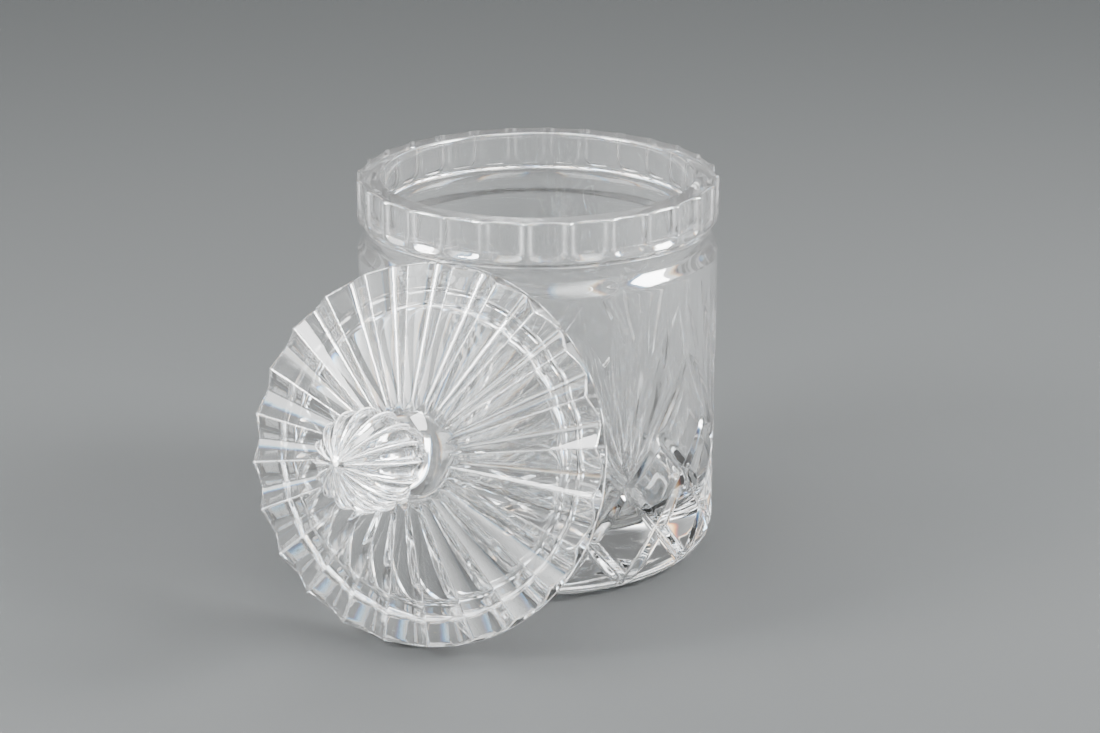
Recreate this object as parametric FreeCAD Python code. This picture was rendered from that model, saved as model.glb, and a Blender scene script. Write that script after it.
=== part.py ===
"""Cut-crystal powder jar with a loose lid leaning against its front.

Millimetres. The jar stands on Z = 0 with its axis on +Z. The lid leans on the -Y side with its
knob pointing outward and a little upward. Writes one STEP file per glass piece.
"""
import FreeCAD
import Part

import math
import os

# Jar
JAR_HEIGHT = 107.4
RIM_RADIUS = 50.0
BODY_RADIUS = 50.0
FOOT_CORNER = 7.5  # rounded lower edge of the body
MOUTH_RADIUS = 43.0
LIP_ROUND = 0.8
FLOOR_THICKNESS = 16.0
FLOOR_CORNER = 8.0

# Fluted rim band and the cove below it
BAND_BOTTOM = 96.2
COVE_Z = 91.8
COVE_RADIUS = 47.8
SHOULDER_Z = 86.0
SHOULDER_TURN = (0.7, 2.6)  # inward and upward step where the shoulder turns into the cove
BAND_TURN = (0.9, 1.3)  # inward and downward step where the cove turns into the band
RIM_FLUTES = 28
RIM_FLUTE_DEPTH = 1.18
RIM_FLUTE_WHEEL = 14.2  # radius of the round cutter that hollows each flute
RIM_FLUTE_END = 97.2  # lowest point of each flute
RIM_FLUTE_START_DEG = 2.5

# Fans of long round-bottomed cuts, each growing from one node of the mitre lattice
FANS = 7
FAN_START_DEG = -87.5  # one fan all but faces the lid
FAN_NODE_Z = 31.0
PETALS = (  # tip offset in degrees, tip height, half width, depth
    (-27.0, 66.0, 2.4, 1.4),
    (-16.0, 77.5, 3.2, 1.7),
    (-5.0, 81.0, 2.0, 1.2),
    (5.0, 81.0, 2.0, 1.2),
    (16.0, 77.5, 3.2, 1.7),
    (27.0, 66.0, 2.4, 1.4),
)
PETAL_GAP = 1.5  # clear length left at the node

# Diamond lattice of V-shaped mitres round the lower body
LATTICE_ROWS = (3.5, 17.0, FAN_NODE_Z, 43.5)
MITRE_DEPTH = 1.5
MITRE_HALF_ANGLE_DEG = 52.0
MITRE_OVERRUN = 1.2
TOOL_CLEARANCE = 3.0  # how far the cutting shapes stand out of the glass
OVERLAP = 1.0  # how far joined shapes run into each other

# Lid, in its own frame: seat plane at z = 0, knob upward
LID_RADIUS = 50.3
LID_TOP_RADIUS = 49.5  # the edge draws in a little from the seat plane up to the ridges
LID_APEX_Z = 15.6
LID_RIDGE_EDGE_Z = 6.2
LID_VALLEY_EDGE_Z = 2.2
LID_FLUTES = 24
LID_TURN_DEG = -3.7  # the lid and knob are turned this far on their own axis
PLUG_RADIUS = 42.2
PLUG_INNER_RADIUS = 38.5
PLUG_DEPTH = 4.0
PLUG_ROUND = 1.0
HOLLOW_RISE = 7.5
HOLLOW_FLAT_RADIUS = 2.5
HOLLOW_BEND = 0.75  # share of the rise still left half way out to the ring
COLLAR_RADIUS = 15.0
COLLAR_Z = 11.4
COLLAR_BEND = (10.2, 15.0)  # radius and height the collar's curve passes through
COLLAR_ROOT_Z = 9.5  # the collar starts here, inside the plate
NECK_RADIUS = 7.6
NECK_TOP_Z = 21.4

# Knob: round below its widest level, drawn out to a blunt point above it
BALL_RADIUS = 13.4
BALL_CENTRE_Z = 33.6
CROWN_RADIUS = 17.4  # profile arc of the upper half
CROWN_TOP_RADIUS = 0.6  # small flat at the very tip
KNOB_RIBS = 16
KNOB_FLUTE_RADIUS = 3.2
KNOB_FLUTE_DEPTH = 1.15
CROWN_FLUTE_DEG = 62.0  # how far the flutes run up from the widest level
UNDER_FLUTE_DEG = 50.0  # and how far down

# Lean of the lid: its seat plane stands this far from the vertical
LEAN_DEG = 17.3
LID_STANDOFF = 66.4  # jar axis to the middle of the lid's seat plane, level


def vec(x, y, z):
    return FreeCAD.Vector(x, y, z)


def revolved(edges):
    """Solid of revolution about Z from a closed chain of edges in the XZ plane."""
    face = Part.Face(Part.Wire(edges))
    return face.revolve(vec(0, 0, 0), vec(0, 0, 1), 360.0)


def line(a, b):
    return Part.makeLine(vec(a[0], 0, a[1]), vec(b[0], 0, b[1]))


def arc(a, middle, b):
    points = [vec(p[0], 0, p[1]) for p in (a, middle, b)]
    return Part.Arc(*points).toShape()


def quarter(centre, radius, start_deg, end_deg):
    """Arc round a centre in the XZ plane, between two directions in degrees."""
    points = []
    for deg in (start_deg, 0.5 * (start_deg + end_deg), end_deg):
        t = math.radians(deg)
        points.append((centre[0] + radius * math.cos(t), centre[1] + radius * math.sin(t)))
    return arc(*points)


def cove_edges():
    """The smooth hollow between the body and the rim band, from low to high."""
    points = [
        vec(BODY_RADIUS, 0, SHOULDER_Z),
        vec(BODY_RADIUS - SHOULDER_TURN[0], 0, SHOULDER_Z + SHOULDER_TURN[1]),
        vec(COVE_RADIUS, 0, COVE_Z),
        vec(RIM_RADIUS - BAND_TURN[0], 0, BAND_BOTTOM - BAND_TURN[1]),
        vec(RIM_RADIUS, 0, BAND_BOTTOM),
    ]
    curve = Part.BSplineCurve()
    curve.interpolate(points, InitialTangent=vec(0, 0, 1), FinalTangent=vec(0.6, 0, 1))
    return curve.toShape()


def jar_blank():
    """Turned jar before any cutting."""
    foot = BODY_RADIUS - FOOT_CORNER
    inside = MOUTH_RADIUS - FLOOR_CORNER
    floor_arc_z = FLOOR_THICKNESS + FLOOR_CORNER
    lip = (MOUTH_RADIUS + LIP_ROUND, JAR_HEIGHT - LIP_ROUND)
    edge = (RIM_RADIUS - LIP_ROUND, JAR_HEIGHT - LIP_ROUND)
    return revolved([
        line((0, 0), (foot, 0)),
        quarter((foot, FOOT_CORNER), FOOT_CORNER, -90, 0),
        line((BODY_RADIUS, FOOT_CORNER), (BODY_RADIUS, SHOULDER_Z)),
        cove_edges(),
        line((RIM_RADIUS, BAND_BOTTOM), (RIM_RADIUS, edge[1])),
        quarter(edge, LIP_ROUND, 0, 90),
        line((edge[0], JAR_HEIGHT), (lip[0], JAR_HEIGHT)),
        quarter(lip, LIP_ROUND, 90, 180),
        line((MOUTH_RADIUS, lip[1]), (MOUTH_RADIUS, floor_arc_z)),
        quarter((inside, floor_arc_z), FLOOR_CORNER, 0, -90),
        line((inside, FLOOR_THICKNESS), (0, FLOOR_THICKNESS)),
        line((0, FLOOR_THICKNESS), (0, 0)),
    ])


def rim_flute_tools():
    """Upright round cutters, each with a ball end, spaced round the rim band."""
    reach = RIM_RADIUS - RIM_FLUTE_DEPTH + RIM_FLUTE_WHEEL
    end_rise = math.sqrt(RIM_FLUTE_WHEEL ** 2 - (reach - RIM_RADIUS) ** 2)
    ball_z = RIM_FLUTE_END + end_rise
    top = JAR_HEIGHT + TOOL_CLEARANCE
    tools = []
    for k in range(RIM_FLUTES):
        turn = math.radians(RIM_FLUTE_START_DEG) + 2 * math.pi * k / RIM_FLUTES
        at = vec(reach * math.cos(turn), reach * math.sin(turn), ball_z)
        shank = Part.makeCylinder(RIM_FLUTE_WHEEL, top - ball_z, at)
        ball = Part.makeSphere(RIM_FLUTE_WHEEL, at)
        tools.append(shank.fuse(ball))
    return tools


def surface_frame(angle_deg, z, lean_rad):
    """Placement on the body: x along the cut, z straight out of the glass."""
    t = math.radians(angle_deg)
    out = vec(math.cos(t), math.sin(t), 0)
    round_way = vec(-math.sin(t), math.cos(t), 0)
    along = round_way * math.sin(lean_rad) + vec(0, 0, 1) * math.cos(lean_rad)
    across = out.cross(along)
    at = out * BODY_RADIUS + vec(0, 0, z)
    return FreeCAD.Placement(FreeCAD.Matrix(
        along.x, across.x, out.x, at.x,
        along.y, across.y, out.y, at.y,
        along.z, across.z, out.z, at.z,
        0, 0, 0, 1))


def span(start, end):
    """Middle, length and lean of a cut between two (degrees, z) points on the body."""
    run = math.radians(end[0] - start[0]) * BODY_RADIUS
    rise = end[1] - start[1]
    middle = (0.5 * (start[0] + end[0]), 0.5 * (start[1] + end[1]))
    return middle, math.hypot(run, rise), math.atan2(run, rise)


def round_wheel(length, half_width, depth):
    """Round-edged wheel arc that cuts a pointed oval of this length, width and depth."""
    wheel = ((length / 2) ** 2 + depth ** 2) / (2 * depth)
    tube = (half_width ** 2 + depth ** 2) / (2 * depth)
    reach = math.asin((length / 2 + TOOL_CLEARANCE) / wheel)
    centre = vec(0, 0, wheel - depth)
    ring = Part.Face(Part.Wire(Part.makeCircle(tube, vec(0, 0, tube - depth), vec(1, 0, 0))))
    ring.rotate(centre, vec(0, 1, 0), -math.degrees(reach))
    return ring.revolve(centre, vec(0, 1, 0), 2 * math.degrees(reach))


def petal_tool(fan_deg, petal):
    offset, tip_z, half_width, depth = petal
    middle, length, lean = span((fan_deg, FAN_NODE_Z + PETAL_GAP), (fan_deg + offset, tip_z))
    tool = round_wheel(length, half_width, depth)
    tool.Placement = surface_frame(middle[0], middle[1], lean)
    return tool


def mitre_tool(start, end):
    """Straight V-shaped cut between two lattice nodes."""
    middle, length, lean = span(start, end)
    half = 0.5 * length + MITRE_OVERRUN
    width = (MITRE_DEPTH + TOOL_CLEARANCE) * math.tan(math.radians(MITRE_HALF_ANGLE_DEG))
    corners = [
        vec(-half, 0, -MITRE_DEPTH),
        vec(-half, width, TOOL_CLEARANCE),
        vec(-half, -width, TOOL_CLEARANCE),
        vec(-half, 0, -MITRE_DEPTH),
    ]
    bar = Part.Face(Part.makePolygon(corners)).extrude(vec(2 * half, 0, 0))
    bar.Placement = surface_frame(middle[0], middle[1], lean)
    return bar


def lattice_ring(row, side):
    """One round of parallel mitres from a lattice row up to the next, leaning one way."""
    pitch = 360.0 / (2 * FANS)
    shift = 0.0 if row % 2 == 0 else 0.5 * pitch
    low, high = LATTICE_ROWS[row], LATTICE_ROWS[row + 1]
    tools = []
    for k in range(2 * FANS):
        at = FAN_START_DEG + k * pitch + shift
        tools.append(mitre_tool((at, low), (at + side * pitch, high)))
    return tools


def petal_ring(petal):
    """The same petal of every fan."""
    return [petal_tool(FAN_START_DEG + 360.0 * k / FANS, petal) for k in range(FANS)]


def jar_body():
    """Blank jar with each round of cuts made in turn, so no two cutters of a round touch."""
    glass = jar_blank().cut(rim_flute_tools())
    for petal in PETALS:
        glass = glass.cut(petal_ring(petal))
    for row in range(len(LATTICE_ROWS) - 1):
        for side in (-0.5, 0.5):
            glass = glass.cut(lattice_ring(row, side))
    return glass


def pleated_cone():
    """Solid under a cone folded into sharp ridges and valleys that all meet at its apex."""
    reach = LID_TOP_RADIUS + TOOL_CLEARANCE
    apex = vec(0, 0, LID_APEX_Z)
    ring = []
    for k in range(2 * LID_FLUTES):
        edge_z = LID_RIDGE_EDGE_Z if k % 2 == 0 else LID_VALLEY_EDGE_Z
        z = LID_APEX_Z + (edge_z - LID_APEX_Z) * reach / LID_TOP_RADIUS
        turn = math.pi * k / LID_FLUTES
        ring.append(vec(reach * math.cos(turn), reach * math.sin(turn), z))
    low = [vec(p.x, p.y, -TOOL_CLEARANCE) for p in ring]
    faces = [Part.Face(Part.makePolygon(low + [low[0]]))]
    for k in range(len(ring)):
        n = (k + 1) % len(ring)
        faces.append(Part.Face(Part.makePolygon([ring[k], ring[n], apex, ring[k]])))
        faces.append(Part.Face(Part.makePolygon([low[k], low[n], ring[n], ring[k], low[k]])))
    return Part.Solid(Part.Shell(faces))


def lid_neck():
    """Smooth collar that rises from the middle of the lid and draws in to the neck."""
    return revolved([
        line((0, COLLAR_ROOT_Z), (COLLAR_RADIUS, COLLAR_ROOT_Z)),
        line((COLLAR_RADIUS, COLLAR_ROOT_Z), (COLLAR_RADIUS, COLLAR_Z)),
        arc((COLLAR_RADIUS, COLLAR_Z), COLLAR_BEND, (NECK_RADIUS, NECK_TOP_Z)),
        line((NECK_RADIUS, NECK_TOP_Z), (0, NECK_TOP_Z)),
        line((0, NECK_TOP_Z), (0, COLLAR_ROOT_Z)),
    ])


def lid_underside():
    """Space to hollow out: the bore of the locating ring and the shallow dome above it."""
    below = -PLUG_DEPTH - TOOL_CLEARANCE
    bend = (0.5 * PLUG_INNER_RADIUS, HOLLOW_RISE * HOLLOW_BEND)
    return revolved([
        line((0, below), (PLUG_INNER_RADIUS, below)),
        line((PLUG_INNER_RADIUS, below), (PLUG_INNER_RADIUS, 0)),
        arc((PLUG_INNER_RADIUS, 0), bend, (HOLLOW_FLAT_RADIUS, HOLLOW_RISE)),
        line((HOLLOW_FLAT_RADIUS, HOLLOW_RISE), (0, HOLLOW_RISE)),
        line((0, HOLLOW_RISE), (0, below)),
    ])


def plug_ring():
    """Ring under the lid that drops into the mouth of the jar."""
    edge_in = PLUG_INNER_RADIUS - OVERLAP
    return revolved([
        line((edge_in, -PLUG_DEPTH), (PLUG_RADIUS - PLUG_ROUND, -PLUG_DEPTH)),
        quarter((PLUG_RADIUS - PLUG_ROUND, PLUG_ROUND - PLUG_DEPTH), PLUG_ROUND, -90, 0),
        line((PLUG_RADIUS, PLUG_ROUND - PLUG_DEPTH), (PLUG_RADIUS, OVERLAP)),
        line((PLUG_RADIUS, OVERLAP), (edge_in, OVERLAP)),
        line((edge_in, OVERLAP), (edge_in, -PLUG_DEPTH)),
    ])


def lid_plate():
    height = LID_APEX_Z + OVERLAP
    draft = (LID_RADIUS - LID_TOP_RADIUS) / LID_RIDGE_EDGE_Z
    disc = Part.makeCone(LID_RADIUS, LID_RADIUS - draft * height, height)
    plate = pleated_cone().common(disc)
    plate = plate.fuse([lid_neck(), plug_ring()])
    return plate.cut(lid_underside()).removeSplitter()


def crown_centre_x():
    """Middle of the crown's profile arc, beyond the axis, on the level of the widest ring."""
    return BALL_RADIUS - CROWN_RADIUS


def swept_round(centre, path_radius, angle_deg):
    """Round cutter swept from the widest level of the knob round a centre on that level."""
    reach = path_radius + KNOB_FLUTE_RADIUS - KNOB_FLUTE_DEPTH
    circle = Part.makeCircle(KNOB_FLUTE_RADIUS, centre + vec(reach, 0, 0), vec(0, 0, 1))
    return Part.Face(Part.Wire(circle)).revolve(centre, vec(0, -1, 0), angle_deg)


def knob_flute_tools():
    """Cutters that hollow the knob along its meridians and stop short of both ends."""
    upper = vec(crown_centre_x(), 0, BALL_CENTRE_Z)
    lower = vec(0, 0, BALL_CENTRE_Z)
    tools = []
    for k in range(KNOB_RIBS):
        tool = swept_round(upper, CROWN_RADIUS, CROWN_FLUTE_DEG)
        tool = tool.fuse(swept_round(lower, BALL_RADIUS, -UNDER_FLUTE_DEG))
        tool.rotate(lower, vec(0, 0, 1), 360.0 * k / KNOB_RIBS)
        tools.append(tool)
    return tools


def knob_blank():
    """Turned knob: short stem, round underside and drawn-out crown."""
    stem_angle = -math.degrees(math.acos(NECK_RADIUS / BALL_RADIUS))
    stem_z = BALL_CENTRE_Z + BALL_RADIUS * math.sin(math.radians(stem_angle))
    crown_x = crown_centre_x()
    crown_angle = math.degrees(math.acos((CROWN_TOP_RADIUS - crown_x) / CROWN_RADIUS))
    tip_z = BALL_CENTRE_Z + CROWN_RADIUS * math.sin(math.radians(crown_angle))
    return revolved([
        line((0, NECK_TOP_Z), (NECK_RADIUS, NECK_TOP_Z)),
        line((NECK_RADIUS, NECK_TOP_Z), (NECK_RADIUS, stem_z)),
        quarter((0, BALL_CENTRE_Z), BALL_RADIUS, stem_angle, 0),
        quarter((crown_x, BALL_CENTRE_Z), CROWN_RADIUS, 0, crown_angle),
        line((CROWN_TOP_RADIUS, tip_z), (0, tip_z)),
        line((0, tip_z), (0, NECK_TOP_Z)),
    ])


def knob():
    return knob_blank().cut(knob_flute_tools())


def leaned(shape):
    """Moves a lid piece from its own frame to where it leans on the jar."""
    shape = shape.copy()
    shape.rotate(vec(0, 0, 0), vec(0, 0, 1), LID_TURN_DEG)
    shape.rotate(vec(0, 0, 0), vec(1, 0, 0), 90.0 - LEAN_DEG)
    rest_z = LID_RADIUS * math.cos(math.radians(LEAN_DEG))
    shape.translate(vec(0, -LID_STANDOFF, rest_z))
    return shape


def main():
    os.makedirs("parts", exist_ok=True)
    jar_body().exportStep("parts/jar.step")
    leaned(lid_plate()).exportStep("parts/lid.step")
    leaned(knob()).exportStep("parts/knob.step")


main()
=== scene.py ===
"""Looks of the cut-crystal powder jar and its leaning lid. Metres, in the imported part's frame."""

import math

import bpy
import numpy as np
from mathutils import Matrix, Vector

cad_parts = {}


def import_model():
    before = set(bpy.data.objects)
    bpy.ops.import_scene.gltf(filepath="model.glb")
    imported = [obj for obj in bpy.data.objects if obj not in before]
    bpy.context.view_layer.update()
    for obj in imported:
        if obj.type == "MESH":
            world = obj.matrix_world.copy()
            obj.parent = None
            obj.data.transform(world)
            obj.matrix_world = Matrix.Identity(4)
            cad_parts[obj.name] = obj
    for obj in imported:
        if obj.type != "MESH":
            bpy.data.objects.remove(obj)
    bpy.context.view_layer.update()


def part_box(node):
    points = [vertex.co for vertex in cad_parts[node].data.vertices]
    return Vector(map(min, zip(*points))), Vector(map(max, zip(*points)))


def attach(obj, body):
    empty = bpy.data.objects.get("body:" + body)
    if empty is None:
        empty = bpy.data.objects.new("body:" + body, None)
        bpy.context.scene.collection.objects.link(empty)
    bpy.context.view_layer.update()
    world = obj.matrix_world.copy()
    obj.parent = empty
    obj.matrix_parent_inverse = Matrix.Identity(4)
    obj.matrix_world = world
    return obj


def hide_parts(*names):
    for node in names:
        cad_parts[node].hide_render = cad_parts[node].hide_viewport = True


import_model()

# ---------------------------------------------------------------- sizes read from the frame
JAR_LOW, JAR_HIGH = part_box("jar")
JAR_H = JAR_HIGH.z - JAR_LOW.z
JAR_R = 0.5 * (JAR_HIGH.x - JAR_LOW.x)
LID_LOW, LID_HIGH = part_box("lid")
LID_R = 0.5 * (LID_HIGH.x - LID_LOW.x)
MM = 0.001

# ---------------------------------------------------------------- jar profile
FOOT_CORNER = 7.5 * MM
MOUTH_R = 43.0 * MM
LIP = 0.8 * MM
FLOOR_Z = 16.0 * MM
FLOOR_CORNER = 8.0 * MM
BAND_Z = 96.2 * MM
BAND_START = 0.3 * MM  # the upright part of the band begins this far above BAND_Z
BAND_SET_IN = 0.25 * MM  # the cove ends this far inside the band
BAND_ROOT = (1.4 * MM, 0.3 * MM)  # how far in and below BAND_Z the cove's last bend is pulled
BAND_CUT_BELOW = 0.6 * MM  # flutes are cut from this far below BAND_Z
COVE_Z = 91.8 * MM
COVE_R = 47.8 * MM
COVE_BEND = 2.4 * MM
SHOULDER_Z = 86.0 * MM
SHOULDER_BEND = 2.6 * MM
LIP_ZONE = 1.2 * LIP  # the flutes shape the lip this far down from its top
JAR_ROWS = {"underside": 6, "foot": 17, "plain": 84, "cove": 13, "band": 26,
            "lip": 6, "wall": 24, "floor_corner": 16, "floor": 10}
COLS_PER_STEP = 28  # mesh columns between neighbouring lattice lines

# ---------------------------------------------------------------- cuts on the jar
FLUTES = 28
FLUTE_DEPTH = 1.15 * MM
FLUTE_FULL_Z = 101.0 * MM
FLUTE_ARCH = 4.2 * MM
FLUTE_SHAPE = 3.0  # flat-bottomed panes between narrow upright ridges
EDGE_INSET = 0.21  # the painted highlight line inside a flute, as a share of its half width
EDGE_WIDTH = 0.07
EDGE_FADE = (1.1, 0.12)  # where the line starts to fade below the arch, and its least strength
FANS = 7
FAN_START = math.radians(-87.5)  # a rim flute is centred on it too
LATTICE_Z = np.array([3.5, 17.0, 31.0, 43.5]) * MM
LATTICE_RISE = 14.0 * MM
MITRE_DEPTH = 1.5 * MM
MITRE_HALF_ANGLE = math.radians(52.0)
MITRE_FADE_LOW = 2.2 * MM
MITRE_FADE_HIGH = 2.0 * MM
PETALS = (  # tip offset in degrees, tip z, half width, depth (mm)
    (-27.0, 66.0, 2.5, 1.3),
    (-16.0, 77.5, 3.3, 1.5),
    (-5.0, 81.0, 2.1, 1.1),
    (5.0, 81.0, 2.1, 1.1),
    (16.0, 77.5, 3.3, 1.5),
    (27.0, 66.0, 2.5, 1.3),
)
PETAL_START = 1.5 * MM
PETAL_LEAN = 1.35  # above 1 the widest place moves toward the tip
PETAL_FULLNESS = 0.85
THINNEST = 1e-7
MIDLINE_DEPTH = 0.35 * MM  # the fine cut up the middle of a fan
MIDLINE_SLOPE = 0.7
MIDLINE_FOOT = (36.0 * MM, 3.0 * MM)  # height below which it fades, and over how much
MIDLINE_TOP = (70.0 * MM, 6.0 * MM)

# ---------------------------------------------------------------- lid, in its own frame
LID_PLEATS = 24
PLEAT_COLS = 32
PLEAT_SOFT = 0.20  # how rounded a valley is
PLEAT_MIX = (0.7, 0.3)  # shares of the soft V and of a parabola in a pleat's slope
# width of the painted highlight line along each lid ridge
RIDGE_LINE = 0.05
LID_TURN = math.radians(-3.7)
LID_TOP_R = 49.5 * MM
LID_APEX = 15.6 * MM
RIDGE_EDGE_Z = 6.2 * MM
VALLEY_EDGE_Z = 2.2 * MM
LID_DRAFT = (LID_R - LID_TOP_R) / RIDGE_EDGE_Z
LID_CHAMFER = 0.25 * MM
PLUG_R = 42.2 * MM
PLUG_IN_R = 38.5 * MM
PLUG_DEPTH = 4.0 * MM
PLUG_ROUND = 1.0 * MM
PLUG_CHAMFER = 0.4 * MM
HOLLOW_RISE = 7.5 * MM
HOLLOW_FLAT_R = 2.5 * MM
HOLLOW_BEND = 0.75  # rise of the hollow half way out, as a share of its full rise
COLLAR_R = 15.0 * MM
COLLAR_Z = 11.4 * MM
COLLAR_OVERLAP = 1.5 * MM  # the pleated top stops this far outside the collar
COLLAR_PULL = ((4.0 * MM, 2.2 * MM), (0.2 * MM, 5.1 * MM))  # in and up, out and up
NECK_R = 7.6 * MM
NECK_TOP = 21.4 * MM
LID_WALL_ROWS = 6
LID_TOP_ROWS = 60
COLLAR_ROWS = 22
UNDER_ROWS = {"middle": 3, "hollow": 26, "inner_wall": 6, "chamfer": 3, "ring": 4,
              "ring_round": 7, "outer_wall": 6, "seat": 6, "edge": 2}

# ---------------------------------------------------------------- knob
BALL_R = 13.4 * MM
BALL_Z = 33.6 * MM
CROWN_R = 17.4 * MM
CROWN_TOP_R = 0.6 * MM
RIBS = 16
RIB_COLS = 28
RIB_DEPTH = 1.15 * MM
RIB_SHAPE = 3.0
# width of the painted highlight line along each knob rib
RIB_LINE = 0.06
CROWN_RIB_DEG = 70.0  # the ribs run out towards these angles above and below the ball's middle
CROWN_RIB_FADE = 30
UNDER_RIB_DEG = 52.0
UNDER_RIB_FADE = 18
KNOB_ROWS = {"stem": 5, "under": 36, "crown": 56, "tip": 3}

# ---------------------------------------------------------------- where the lid leans
LEAN = math.radians(17.3)
STANDOFF = 66.4 * MM

# ---------------------------------------------------------------- materials
GLASS_COLOUR = (0.992, 0.998, 0.998, 1)
GLASS_INDEX = 1.545
PAINTED_HAZE_LEVELS = ((0.020, 0.050), (0.086, 0.098))  # a faint haze starts above these heights: painted light that lightens the upper jar
CLEARNESS = {  # share of light let through at the foot, then the loss to the painted haze above each level
    "jar": (0.997, 0.010, 0.002),
    "lid": (0.992, 0.0, 0.0),
    "knob": (0.997, 0.0, 0.0),
}
EDGE_HIGHLIGHT_PAINT = {"jar": 0.13, "lid": 0.10, "knob": 0.55}  # painted highlight lines along the cut edges: less light is let through there, so they read white
NOISE_SCALE = 90.0
NOISE_DETAIL = 2.0
PATCHES = (0.35, 0.65)  # noise levels between which a painted highlight line goes from dull to bright
PATCH_GAIN, PATCH_LEAST = 0.7, 0.3
BUMP_STRENGTH = 0.03
BUMP_DISTANCE = 0.001
FLOOR_COLOUR = (0.0168, 0.0177, 0.0179, 1)  # dark, because the light boxes are strong
FLOOR_ROUGHNESS = 0.9
FLOOR_GLOSS = 0.1

# ---------------------------------------------------------------- studio
FLOOR_HALF = 60 * JAR_R
FLOOR_DROP = 0.0002
WORLD_BASE = 0.62
WORLD_TOP = 1.2  # added overhead
TOP_FADE = (0.80, 0.95)
WORLD_TINT = (0.98, 1.0, 1.0)
PANELS = 6  # tall bright panels round the table; the back lobe dims those behind the jar
PANEL_LIGHT = 20.0
PANEL_TURN = math.radians(-34.0)
PANEL_WIDTH = 0.50  # share of each sixth that is lit
PANEL_SOFT = 0.40
PANEL_LOW, PANEL_HIGH = 0.16, 0.86  # from and to this height on the unit sphere
PANEL_FADE = (0.04, 0.12)  # past the end of a panel, and within it
FRINGE = math.radians(1.1)  # red and blue panels are shifted this far either way: colour glints
BACK_GLOW = 0.19
BACK_LOBE = ((0.0, 1.0, 0.12), 30, 62, 1.0)  # towards, full inside, gone past (degrees), strength
FRONT_LOBE = ((0.0, -1.0, 0.15), 15, 50, 0.85)  # the room behind the camera is darker
LIGHTS = (  # name, place (right, away, up) in metres, size, power
    ("left_box", (-0.62, -0.30, 0.42), (0.30, 0.40), 60.0),
    ("right_box", (0.62, -0.11, 0.47), (0.26, 0.48), 62.0),
    ("top_box", (0.0, 0.05, 0.80), (0.50, 0.36), 24.0),
)
LIGHT_AIM = (0, 0, 0.05)

# ---------------------------------------------------------------- camera
CAMERA_AZ = 25.03
CAMERA_DIP = 20.03
CAMERA_LENS = 80.6
CAMERA_SENSOR = 36.0
CAMERA_BACK = 13.11  # in jar radii from the axis
CAMERA_SIDE = 0.068
CAMERA_UP = 2.6946  # in jar heights


# ---------------------------------------------------------------- mesh helpers
def grid_object(name, points, edge):
    """Mesh from an array of rings (rows, columns, 3), closed round the columns.

    The edge values, one for each point, say how strongly a painted highlight line whitens the glass
    there.
    """
    rows, cols = points.shape[:2]
    idx = np.arange(rows * cols).reshape(rows, cols)
    a = idx[:-1]
    b = np.roll(idx, -1, 1)[:-1]
    c = np.roll(idx, -1, 1)[1:]
    d = idx[1:]
    quads = np.stack([a, b, c, d], -1).reshape(-1, 4)
    pts = points.reshape(-1, 3)
    radius = np.hypot(pts[:, 0], pts[:, 1])
    # split each quad along the deeper diagonal, so that V cuts keep a clean keel
    tie = 1e-9
    ac = radius[quads[:, 0]] + radius[quads[:, 2]]
    bd = radius[quads[:, 1]] + radius[quads[:, 3]]
    use_ac = ac <= bd + tie
    t1 = np.where(use_ac[:, None], quads[:, [0, 1, 2]], quads[:, [0, 1, 3]])
    t2 = np.where(use_ac[:, None], quads[:, [0, 2, 3]], quads[:, [1, 2, 3]])
    tris = np.concatenate([t1, t2])
    # drop triangles that collapse where a ring shrinks to a point
    smallest = 1e-14
    p = pts[tris]
    area = np.linalg.norm(np.cross(p[:, 1] - p[:, 0], p[:, 2] - p[:, 0]), axis=1)
    ob = mesh_object(name, pts, tris[area > smallest])
    layer = ob.data.attributes.new("edge", "FLOAT", "POINT")
    layer.data.foreach_set("value", np.asarray(edge, np.float32).ravel())
    return ob


def mesh_object(name, pts, tris):
    """Smooth-shaded object from points and triangles."""
    mesh = bpy.data.meshes.new(name)
    mesh.vertices.add(len(pts))
    mesh.vertices.foreach_set("co", np.asarray(pts, np.float32).ravel())
    mesh.loops.add(len(tris) * 3)
    mesh.loops.foreach_set("vertex_index", np.asarray(tris, np.int32).ravel())
    mesh.polygons.add(len(tris))
    mesh.polygons.foreach_set("loop_start", np.arange(0, len(tris) * 3, 3, dtype=np.int32))
    mesh.polygons.foreach_set("loop_total", np.full(len(tris), 3, np.int32))
    mesh.update(calc_edges=True)
    mesh.validate()
    mesh.polygons.foreach_set("use_smooth", np.ones(len(mesh.polygons), bool))
    ob = bpy.data.objects.new(name, mesh)
    bpy.context.scene.collection.objects.link(ob)
    return ob


def bezier(p0, p1, p2, p3, n):
    """n points along a cubic curve."""
    t = np.linspace(0, 1, n)[:, None]
    p0, p1, p2, p3 = (np.array(p, float) for p in (p0, p1, p2, p3))
    return (1 - t) ** 3 * p0 + 3 * (1 - t) ** 2 * t * p1 + 3 * (1 - t) * t * t * p2 + t ** 3 * p3


def arc_points(centre, radius, start_deg, end_deg, n):
    """n points along an arc."""
    t = np.radians(np.linspace(start_deg, end_deg, n))
    return np.stack([centre[0] + radius * np.cos(t), centre[1] + radius * np.sin(t)], -1)


def straight(a, b, n):
    """n points along a line."""
    t = np.linspace(0, 1, n)[:, None]
    return np.array(a) * (1 - t) + np.array(b) * t


def chain(*parts):
    """Stretches of a profile joined end to end; each starts on the last point before it."""
    out = [parts[0]]
    for p in parts[1:]:
        out.append(p[1:])
    return np.concatenate(out)


# ---------------------------------------------------------------- jar
def flute_place(theta, z):
    """Signed place across a flute, -1 to 1, and how far below its full width z is, in arches."""
    step = 2 * math.pi / FLUTES
    x = 2 * np.mod((theta - FAN_START) / step + 0.5, 1.0) - 1
    return x, np.clip((FLUTE_FULL_Z - z) / FLUTE_ARCH, 0, None)


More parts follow.
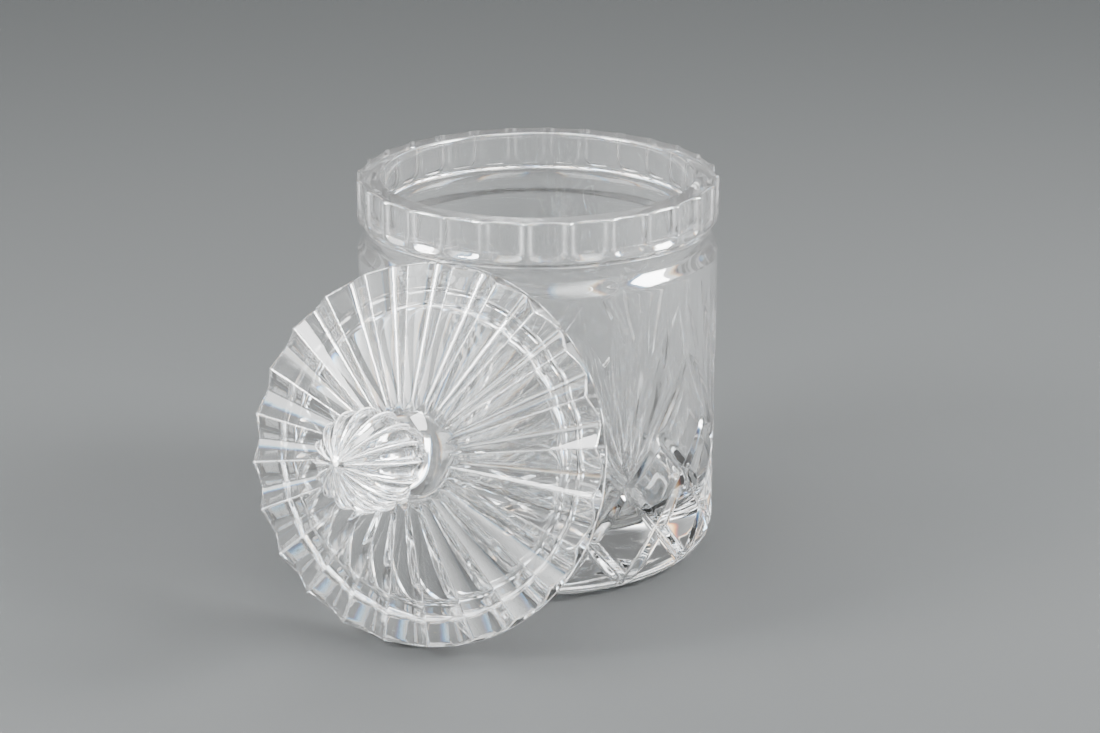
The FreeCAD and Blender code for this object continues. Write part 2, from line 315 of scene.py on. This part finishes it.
def flute_depth(theta, z):
    """Depth of the upright flutes on the rim band."""
    x, drop = flute_place(theta, z)
    return np.clip(FLUTE_DEPTH * (1 - np.abs(x) ** FLUTE_SHAPE - drop ** FLUTE_SHAPE), 0, None)


def flute_edge(theta, z):
    """Strength of the painted highlight line just inside each flute, down one side and up the other.
    """
    x, drop = flute_place(theta, z)
    level = (np.abs(x) ** FLUTE_SHAPE + drop ** FLUTE_SHAPE) ** (1 / FLUTE_SHAPE)
    start, least = EDGE_FADE
    line = np.exp(-((1 - level - EDGE_INSET) / EDGE_WIDTH) ** 2)
    return line * np.clip(start - drop, least, 1)


def mitre_depth(theta, z):
    """Depth of the crossing V cuts round the foot."""
    half_pitch = math.pi / (2 * FANS)
    arc = half_pitch * JAR_R
    u = (theta - FAN_START) / half_pitch
    low, high = LATTICE_Z[0], LATTICE_Z[-1]
    step = LATTICE_Z[1] - LATTICE_Z[0]
    v = np.interp(z, LATTICE_Z, [0, 1, 2, 3])
    v = np.where(z < low, (z - low) / step, v)
    v = np.where(z > high, 3 + (z - high) / step, v)
    squeeze = arc * LATTICE_RISE / math.hypot(arc, LATTICE_RISE)
    deepest = np.zeros_like(z + theta)
    for sign in (-1, 1):
        off = np.abs(np.mod(u + sign * v + 1, 2) - 1) * squeeze
        deepest = np.maximum(deepest, MITRE_DEPTH - off / math.tan(MITRE_HALF_ANGLE))
    fade = np.clip((z - (low - MITRE_FADE_LOW)) / MITRE_FADE_LOW, 0, 1)
    fade = fade * np.clip(((high + MITRE_FADE_HIGH) - z) / MITRE_FADE_HIGH, 0, 1)
    return np.clip(deepest - MITRE_DEPTH * (1 - fade), 0, None)


def petal_depth(theta, z, fan_angle):
    """Depth of one fan: its long petals and the fine line up its middle."""
    node_z = LATTICE_Z[2]
    s = (np.mod(theta - fan_angle + math.pi, 2 * math.pi) - math.pi) * JAR_R
    deepest = np.zeros_like(z + theta)
    for offset, tip, half, depth in PETALS:
        end_s, end_z = math.radians(offset) * JAR_R, tip * MM
        length = math.hypot(end_s, end_z - node_z)
        dx, dz = end_s / length, (end_z - node_z) / length
        along = (s * dx + (z - node_z) * dz - PETAL_START) / (length - PETAL_START)
        across = s * dz - (z - node_z) * dx
        inside = (along > 0) & (along < 1)
        swell = np.sin(math.pi * np.clip(along, 0, 1) ** PETAL_LEAN)
        width = np.maximum(half * MM * swell ** PETAL_FULLNESS, THINNEST)
        cut = depth * MM * swell * (1 - (across / width) ** 2)
        deepest = np.maximum(deepest, np.where(inside, cut, 0))
    foot, foot_fade = MIDLINE_FOOT
    top, top_fade = MIDLINE_TOP
    line = MIDLINE_DEPTH - np.abs(s) * MIDLINE_SLOPE
    line = line - MIDLINE_DEPTH * np.clip((foot - z) / foot_fade, 0, 1)
    line = line - MIDLINE_DEPTH * np.clip((z - top) / top_fade, 0, 1)
    return np.maximum(deepest, np.clip(line, 0, None))


def body_depth(theta, z):
    """Depth of all the cuts below the shoulder."""
    cut = mitre_depth(theta, z)
    for k in range(FANS):
        cut = np.maximum(cut, petal_depth(theta, z, FAN_START + 2 * math.pi * k / FANS))
    return cut


def jar_rows():
    """Profile rows (r, z) of the outside, from the middle of the underside up to the lip."""
    foot_r = JAR_R - FOOT_CORNER
    corner = arc_points((foot_r, FOOT_CORNER), FOOT_CORNER, -90, 0, JAR_ROWS["foot"])
    zs = np.concatenate(
        [np.linspace(a, b, COLS_PER_STEP + 1)[:-1] for a, b in zip(LATTICE_Z, LATTICE_Z[1:])]
        + [np.linspace(LATTICE_Z[3], SHOULDER_Z, JAR_ROWS["plain"])])
    drop = np.clip(FOOT_CORNER - zs, 0, None)
    rs = foot_r + np.sqrt(FOOT_CORNER ** 2 - drop ** 2)
    cove = chain(
        bezier((JAR_R, SHOULDER_Z), (JAR_R, SHOULDER_Z + SHOULDER_BEND),
               (COVE_R, COVE_Z - COVE_BEND), (COVE_R, COVE_Z), JAR_ROWS["cove"]),
        bezier((COVE_R, COVE_Z), (COVE_R, COVE_Z + COVE_BEND),
               (JAR_R - BAND_ROOT[0], BAND_Z - BAND_ROOT[1]),
               (JAR_R - BAND_SET_IN, BAND_Z), JAR_ROWS["cove"]))
    return np.concatenate([
        straight((0, 0), (foot_r, 0), JAR_ROWS["underside"]),
        corner[corner[:, 1] < LATTICE_Z[0]],
        np.stack([rs, zs], -1),
        cove[1:],
        straight((JAR_R, BAND_Z + BAND_START), (JAR_R, JAR_H - LIP), JAR_ROWS["band"])])


def jar_inside():
    """Profile rows over the lip, down the inner wall and across the inner floor."""
    inner = MOUTH_R - FLOOR_CORNER
    corner_z = FLOOR_Z + FLOOR_CORNER
    return chain(
        arc_points((JAR_R - LIP, JAR_H - LIP), LIP, 0, 90, JAR_ROWS["lip"]),
        straight((JAR_R - LIP, JAR_H), (MOUTH_R + LIP, JAR_H), JAR_ROWS["lip"]),
        arc_points((MOUTH_R + LIP, JAR_H - LIP), LIP, 90, 180, JAR_ROWS["lip"]),
        straight((MOUTH_R, JAR_H - LIP), (MOUTH_R, corner_z), JAR_ROWS["wall"]),
        arc_points((inner, corner_z), FLOOR_CORNER, 0, -90, JAR_ROWS["floor_corner"]),
        straight((inner, FLOOR_Z), (0, FLOOR_Z), JAR_ROWS["floor"]))


def build_jar():
    """The jar: one closed glass surface, cut outside and plain inside."""
    cols = 2 * 2 * FANS * COLS_PER_STEP
    theta = FAN_START + 2 * math.pi * np.arange(cols) / cols
    outer, inner = jar_rows(), jar_inside()
    t = theta[None, :]
    z = outer[:, 1:2] + 0 * t
    r = outer[:, :1] + 0 * t
    on_side = (outer[:, 0] > JAR_R - FOOT_CORNER) & (outer[:, 1] < SHOULDER_Z)
    on_band = outer[:, 1] > BAND_Z - BAND_CUT_BELOW
    r = r - np.where(on_side[:, None], body_depth(t, z), 0)
    r = r - np.where(on_band[:, None], flute_depth(t, z), 0)
    # the lip follows the flutes at its outer edge and runs out to round at the mouth
    share = np.clip((inner[:, 0] - MOUTH_R - LIP) / (JAR_R - MOUTH_R - LIP), 0, 1)
    share = np.where(inner[:, 1] > JAR_H - LIP_ZONE, share, 0)
    edge = flute_depth(t, np.full_like(t, JAR_H))
    r_in = inner[:, :1] - share[:, None] * edge
    rr = np.concatenate([r, r_in[1:]])
    zz = np.concatenate([z, (inner[:, 1:2] + 0 * t)[1:]])
    pts = np.stack([rr * np.cos(t), rr * np.sin(t), zz], -1)
    # painted highlight lines down each flute of the rim band
    painted_highlight = np.zeros_like(rr)
    painted_highlight[:len(outer)] = np.where(on_band[:, None], flute_edge(t, z), 0)
    return grid_object("jar_crystal", pts, painted_highlight)


# ---------------------------------------------------------------- lid and knob
def place(pts):
    """Points in the lid's own frame, moved to where the lid leans on the jar."""
    turn = Matrix.Rotation(math.pi / 2 - LEAN, 4, "X")
    m = np.array(Matrix.Translation(Vector((0, -STANDOFF, LID_R * math.cos(LEAN)))) @ turn)
    return pts @ m[:3, :3].T + m[:3, 3]


def turned(rr, zz, t):
    """Points of a lid or knob grid, turned on its own axis by the lid's small chance turn."""
    return np.stack([rr * np.cos(t + LID_TURN), rr * np.sin(t + LID_TURN), zz], -1)


def ridge_share(theta):
    """1 on a ridge, 0 in a valley; ridges fall on theta = 90 degrees and every 15 from it."""
    step = math.pi / LID_PLEATS
    return 1 - np.abs(np.mod((theta - math.pi / 2) / step + 1, 2.0) - 1)


def pleat_height(theta, r):
    """Height of the pleated top."""
    t = ridge_share(theta)
    soft_v = (np.sqrt(t * t + PLEAT_SOFT * PLEAT_SOFT) - PLEAT_SOFT) / (
        math.sqrt(1 + PLEAT_SOFT * PLEAT_SOFT) - PLEAT_SOFT)
    h = PLEAT_MIX[0] * soft_v + PLEAT_MIX[1] * t * t
    ridge = LID_APEX + (RIDGE_EDGE_Z - LID_APEX) * r / LID_TOP_R
    valley = LID_APEX + (VALLEY_EDGE_Z - LID_APEX) * r / LID_TOP_R
    return valley + (ridge - valley) * h


def hollow_curve(n):
    """The lid's shallow dome-shaped hollow, an arc from its flat middle out to the ring."""
    r0, r1 = HOLLOW_FLAT_R, PLUG_IN_R
    r = r0 + (r1 - r0) * np.linspace(0, 1, n)
    pts = np.array([(r0, HOLLOW_RISE), (0.5 * PLUG_IN_R, HOLLOW_RISE * HOLLOW_BEND), (r1, 0.0)])
    ax, ay = pts[:, 0], pts[:, 1]
    m = np.array([[2 * (ax[0] - ax[1]), 2 * (ay[0] - ay[1])],
                  [2 * (ax[1] - ax[2]), 2 * (ay[1] - ay[2])]])
    rhs = np.array([ax[0] ** 2 - ax[1] ** 2 + ay[0] ** 2 - ay[1] ** 2,
                    ax[1] ** 2 - ax[2] ** 2 + ay[1] ** 2 - ay[2] ** 2])
    cx, cy = np.linalg.solve(m, rhs)
    rad = math.hypot(ax[0] - cx, ay[0] - cy)
    return np.stack([r, cy + np.sqrt(rad ** 2 - (r - cx) ** 2)], -1)


def lid_under():
    """Profile rows (r, z) of the underside, from its middle out to the edge."""
    n = UNDER_ROWS
    return chain(
        straight((0, HOLLOW_RISE), (HOLLOW_FLAT_R, HOLLOW_RISE), n["middle"]),
        hollow_curve(n["hollow"]),
        straight((PLUG_IN_R, 0), (PLUG_IN_R, -PLUG_DEPTH + PLUG_CHAMFER), n["inner_wall"]),
        straight((PLUG_IN_R, -PLUG_DEPTH + PLUG_CHAMFER),
                 (PLUG_IN_R + PLUG_CHAMFER, -PLUG_DEPTH), n["chamfer"]),
        straight((PLUG_IN_R + PLUG_CHAMFER, -PLUG_DEPTH),
                 (PLUG_R - PLUG_ROUND, -PLUG_DEPTH), n["ring"]),
        arc_points((PLUG_R - PLUG_ROUND, PLUG_ROUND - PLUG_DEPTH), PLUG_ROUND, -90, 0,
                   n["ring_round"]),
        straight((PLUG_R, PLUG_ROUND - PLUG_DEPTH), (PLUG_R, 0), n["outer_wall"]),
        straight((PLUG_R, 0), (LID_R - LID_CHAMFER, 0), n["seat"]),
        straight((LID_R - LID_CHAMFER, 0), (LID_R - LID_DRAFT * LID_CHAMFER, LID_CHAMFER),
                 n["edge"]))


def build_lid():
    """The lid, open on the neck's circle, where the knob carries the same glass on."""
    cols = LID_PLEATS * PLEAT_COLS
    theta = math.pi / 2 + 2 * math.pi * np.arange(cols) / cols
    t = theta[None, :]
    # the pleated top meets the drawn-in edge where both heights agree
    edge_z = pleat_height(t, LID_TOP_R + 0 * t)
    edge_r = LID_R - LID_DRAFT * edge_z
    edge_z = pleat_height(t, edge_r)
    edge_r = LID_R - LID_DRAFT * edge_z
    wall = np.linspace(0, 1, LID_WALL_ROWS)[:, None]
    z_wall = LID_CHAMFER + (edge_z - LID_CHAMFER) * wall
    r_wall = LID_R - LID_DRAFT * z_wall
    share = np.linspace(0, 1, LID_TOP_ROWS)[:, None]
    r_top = edge_r + (COLLAR_R + COLLAR_OVERLAP - edge_r) * share
    z_top = pleat_height(t, r_top)
    (pull_in, pull_up), (pull_out, pull_top) = COLLAR_PULL
    collar = bezier((COLLAR_R, COLLAR_Z), (COLLAR_R - pull_in, COLLAR_Z + pull_up),
                    (NECK_R + pull_out, COLLAR_Z + pull_top), (NECK_R, NECK_TOP), COLLAR_ROWS)
    z_col = np.maximum(collar[:, 1:2], pleat_height(t, collar[:, :1]))
    r_col = collar[:, :1] + 0 * t
    under = lid_under()
    r_un = under[:, :1] + 0 * t
    z_un = under[:, 1:2] + 0 * t
    rr = np.concatenate([r_un, r_wall[1:], r_top[1:], r_col])
    zz = np.concatenate([z_un, z_wall[1:], z_top[1:], z_col])
    # painted highlight lines along the lid's ridges
    painted_highlight = np.zeros_like(rr)
    first = len(under) - 1
    last = first + LID_WALL_ROWS + LID_TOP_ROWS - 1
    painted_highlight[first:last] = np.exp(-((1 - ridge_share(t)) / RIDGE_LINE) ** 2)
    return grid_object("lid_crystal", place(turned(rr, zz, t)), painted_highlight)


def knob_rows():
    """Profile rows (r, z) from the neck up to the tip, and the strength of the ribs on each."""
    n = KNOB_ROWS
    stem_deg = math.degrees(math.acos(NECK_R / BALL_R))
    stem_z = BALL_Z - BALL_R * math.sin(math.radians(stem_deg))
    crown_x = BALL_R - CROWN_R
    crown_deg = math.degrees(math.acos((CROWN_TOP_R - crown_x) / CROWN_R))
    stem = straight((NECK_R, NECK_TOP), (NECK_R, stem_z), n["stem"])
    under = arc_points((0, BALL_Z), BALL_R, -stem_deg, 0, n["under"])
    crown = arc_points((crown_x, BALL_Z), CROWN_R, 0, crown_deg, n["crown"])
    tip = straight(crown[-1], (0, crown[-1][1]), n["tip"])
    low = np.clip((UNDER_RIB_DEG - np.linspace(stem_deg, 0, n["under"])) / UNDER_RIB_FADE, 0, 1)
    high = np.clip((CROWN_RIB_DEG - np.linspace(0, crown_deg, n["crown"])) / CROWN_RIB_FADE, 0, 1)
    strength = np.concatenate([np.zeros(n["stem"] - 1), low, high[1:], np.zeros(n["tip"] - 1)])
    return chain(stem, under, crown, tip), strength


def build_knob():
    """The ribbed knob, open on the neck's circle."""
    cols = RIBS * RIB_COLS
    theta = math.pi / 2 + 2 * math.pi * np.arange(cols) / cols
    t = theta[None, :]
    rows, strength = knob_rows()
    z = rows[:, 1:2] + 0 * t
    r = rows[:, :1] + 0 * t
    # x is 0 in a flute and 1 on a rib
    x = 2 * np.mod((t - math.pi / 2) / (2 * math.pi / RIBS) + 0.5, 1.0) - 1
    dip = strength[:, None] * (1 - np.abs(x) ** RIB_SHAPE)
    cz = z - BALL_Z
    k = 1 - RIB_DEPTH * dip / np.hypot(r, cz)  # pulled straight in toward the middle of the ball
    # painted highlight lines along the knob's ribs
    painted_highlight = (strength > 0)[:, None] * np.exp(-((1 - np.abs(x)) / RIB_LINE) ** 2)
    return grid_object("knob_crystal", place(turned(r * k, BALL_Z + cz * k, t)), painted_highlight)


# ---------------------------------------------------------------- materials
def math_node(nt, kind, a, b=None):
    """One sum in a node tree; a and b are numbers or sockets."""
    node = nt.nodes.new("ShaderNodeMath")
    node.operation = kind
    for socket, value in zip(node.inputs, (a, b)):
        if value is None:
            continue
        if isinstance(value, (int, float)):
            socket.default_value = value
        else:
            nt.links.new(value, socket)
    return node.outputs[0]


def ramp(nt, value, low, high, top=1.0):
    """0 below low, top above high, smooth between."""
    node = nt.nodes.new("ShaderNodeMapRange")
    node.interpolation_type = "SMOOTHSTEP"
    node.inputs["From Min"].default_value = low
    node.inputs["From Max"].default_value = high
    node.inputs["To Max"].default_value = top
    nt.links.new(value, node.inputs["Value"])
    return node.outputs["Result"]


def let_through(nt, noise, coord, node):
    """Share of light the glass lets through: less in the painted haze that lightens the upper jar
    and along the painted highlight lines on the cut edges.
    """
    split = nt.nodes.new("ShaderNodeSeparateXYZ")
    nt.links.new(coord.outputs["Object"], split.inputs[0])
    weight, *losses = CLEARNESS[node]
    # painted light: above each level the jar is made hazier, so it reads lighter
    for loss, (low, high) in zip(losses, PAINTED_HAZE_LEVELS):
        painted_haze = math_node(nt, "MULTIPLY", ramp(nt, split.outputs["Z"], low, high), loss)
        weight = math_node(nt, "SUBTRACT", weight, painted_haze)
    # painted highlight lines: the edge values, varied by noise, lower the light let through
    edge = nt.nodes.new("ShaderNodeAttribute")
    edge.attribute_name = "edge"
    patchy = math_node(nt, "MULTIPLY", ramp(nt, noise.outputs["Fac"], *PATCHES), PATCH_GAIN)
    patchy = math_node(nt, "ADD", patchy, PATCH_LEAST)
    line = math_node(nt, "MULTIPLY", edge.outputs["Fac"], patchy)
    line = math_node(nt, "MULTIPLY", line, EDGE_HIGHLIGHT_PAINT[node])
    return math_node(nt, "SUBTRACT", weight, line)


def crystal(node):
    """Clear crystal for one CAD node, with a faint unevenness."""
    mat = bpy.data.materials.new(node + "_crystal")
    mat.use_nodes = True
    nt = mat.node_tree
    bsdf = nt.nodes["Principled BSDF"]
    bsdf.inputs["Base Color"].default_value = GLASS_COLOUR
    bsdf.inputs["Roughness"].default_value = 0.0
    bsdf.inputs["IOR"].default_value = GLASS_INDEX
    noise = nt.nodes.new("ShaderNodeTexNoise")
    noise.inputs["Scale"].default_value = NOISE_SCALE
    noise.inputs["Detail"].default_value = NOISE_DETAIL
    coord = nt.nodes.new("ShaderNodeTexCoord")
    nt.links.new(coord.outputs["Object"], noise.inputs["Vector"])
    nt.links.new(let_through(nt, noise, coord, node), bsdf.inputs["Transmission Weight"])
    bump = nt.nodes.new("ShaderNodeBump")
    bump.inputs["Strength"].default_value = BUMP_STRENGTH
    bump.inputs["Distance"].default_value = BUMP_DISTANCE
    nt.links.new(noise.outputs["Fac"], bump.inputs["Height"])
    nt.links.new(bump.outputs["Normal"], bsdf.inputs["Normal"])
    return mat


def floor_paper():
    """Dull paper for the floor."""
    mat = bpy.data.materials.new("floor_paper")
    mat.use_nodes = True
    bsdf = mat.node_tree.nodes["Principled BSDF"]
    bsdf.inputs["Base Color"].default_value = FLOOR_COLOUR
    bsdf.inputs["Roughness"].default_value = FLOOR_ROUGHNESS
    bsdf.inputs["Specular IOR Level"].default_value = FLOOR_GLOSS
    return mat


# ---------------------------------------------------------------- studio
def floor():
    """A plain square floor just under the object."""
    s, z = FLOOR_HALF, -FLOOR_DROP
    pts = np.array([(-s, -s, z), (s, -s, z), (s, s, z), (-s, s, z)])
    ob = mesh_object("floor", pts, np.array([(0, 1, 2), (0, 2, 3)]))
    ob.data.materials.append(floor_paper())


def from_camera(right, away, up):
    """A direction given as right of the view, away from the camera and up."""
    az = math.radians(CAMERA_AZ)
    return (right * math.cos(az) - away * math.sin(az),
            right * math.sin(az) + away * math.cos(az), up)


def lights():
    """Soft boxes, all turned towards the object."""
    for name, spot, size, power in LIGHTS:
        data = bpy.data.lights.new(name, "AREA")
        data.shape = "RECTANGLE"
        data.size, data.size_y = size
        data.energy = power
        ob = bpy.data.objects.new(name, data)
        ob.location = Vector(from_camera(*spot))
        aim = Vector(LIGHT_AIM) - ob.location
        ob.rotation_euler = aim.to_track_quat("-Z", "Y").to_euler()
        bpy.context.scene.collection.objects.link(ob)


def lobe(nt, direction, towards, inner_deg, outer_deg, strength):
    """A round soft patch of the surroundings: full inside inner_deg, gone past outer_deg."""
    dot = nt.nodes.new("ShaderNodeVectorMath")
    dot.operation = "DOT_PRODUCT"
    dot.inputs[1].default_value = Vector(from_camera(*towards)).normalized()
    nt.links.new(direction, dot.inputs[0])
    outer, inner = math.cos(math.radians(outer_deg)), math.cos(math.radians(inner_deg))
    return ramp(nt, dot.outputs["Value"], outer, inner, strength)


def panel_height(nt, height):
    """Brightness of the panels by height: nothing near the floor and straight up."""
    past, within = PANEL_FADE
    rise = ramp(nt, height, PANEL_LOW - past, PANEL_LOW + within)
    fall = ramp(nt, height, PANEL_HIGH - within, PANEL_HIGH + past)
    tall = math_node(nt, "MULTIPLY", rise, math_node(nt, "SUBTRACT", 1.0, fall))
    return math_node(nt, "MULTIPLY", tall, PANEL_LIGHT)


def world():
    """The room: an even glow, a brighter ceiling and a ring of tall soft panels."""
    w = bpy.data.worlds.new("studio")
    bpy.context.scene.world = w
    w.use_nodes = True
    nt = w.node_tree
    bg = nt.nodes["Background"]
    coord = nt.nodes.new("ShaderNodeTexCoord")
    direction = coord.outputs["Generated"]
    split = nt.nodes.new("ShaderNodeSeparateXYZ")
    nt.links.new(direction, split.inputs[0])
    away = from_camera(0.0, 1.0, 0.0)
    turn = math_node(nt, "ARCTAN2", split.outputs["Y"], split.outputs["X"])
    turn = math_node(nt, "SUBTRACT", turn, math.atan2(away[1], away[0]) + PANEL_TURN)
    height = split.outputs["Z"]
    tall = panel_height(nt, height)
    top = math_node(nt, "MULTIPLY", ramp(nt, height, *TOP_FADE), WORLD_TOP)
    steady = math_node(nt, "ADD", top, WORLD_BASE)
    not_back = math_node(nt, "SUBTRACT", 1.0, lobe(nt, direction, *BACK_LOBE))
    not_front = math_node(nt, "SUBTRACT", 1.0, lobe(nt, direction, *FRONT_LOBE))
    open_share = math_node(nt, "MULTIPLY", not_back, not_front)
    edge = math.cos(math.pi * PANEL_WIDTH)
    mix = nt.nodes.new("ShaderNodeCombineXYZ")
    for socket, shift, tone in zip(mix.inputs, (-FRINGE, 0.0, FRINGE), WORLD_TINT):
        angle = math_node(nt, "MULTIPLY", math_node(nt, "ADD", turn, shift), float(PANELS))
        across = ramp(nt, math_node(nt, "COSINE", angle), edge - PANEL_SOFT, edge + PANEL_SOFT)
        light = math_node(nt, "ADD", math_node(nt, "MULTIPLY", across, tall), steady)
        light = math_node(nt, "MULTIPLY", light, open_share)
        light = math_node(nt, "MULTIPLY", math_node(nt, "ADD", light, BACK_GLOW), tone)
        nt.links.new(light, socket)
    nt.links.new(mix.outputs["Vector"], bg.inputs["Color"])
    bg.inputs["Strength"].default_value = 1.0


def camera():
    """The photograph's view of the object."""
    az, dip = math.radians(CAMERA_AZ), math.radians(CAMERA_DIP)
    data = bpy.data.cameras.new("camera")
    data.sensor_width = CAMERA_SENSOR
    data.lens = CAMERA_LENS
    data.dof.use_dof = False
    ob = bpy.data.objects.new("camera", data)
    back = JAR_R * CAMERA_BACK
    side = JAR_R * CAMERA_SIDE
    ob.location = Vector((side * math.cos(az) + back * math.sin(az),
                          side * math.sin(az) - back * math.cos(az), JAR_H * CAMERA_UP))
    look = Vector((-math.sin(az) * math.cos(dip), math.cos(az) * math.cos(dip), -math.sin(dip)))
    ob.rotation_mode = "QUATERNION"
    ob.rotation_quaternion = look.to_track_quat("-Z", "Y")
    bpy.context.scene.collection.objects.link(ob)
    bpy.context.scene.camera = ob


def assemble():
    """Build the three glass pieces and tie each to its CAD node and body."""
    jar, lid, knob = build_jar(), build_lid(), build_knob()
    for ob, body, node in ((jar, "jar", "jar"), (lid, "lid", "lid"), (knob, "lid", "knob")):
        ob.data.materials.append(crystal(node))
        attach(ob, body)
        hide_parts(node)


assemble()
floor()
world()
lights()
camera()
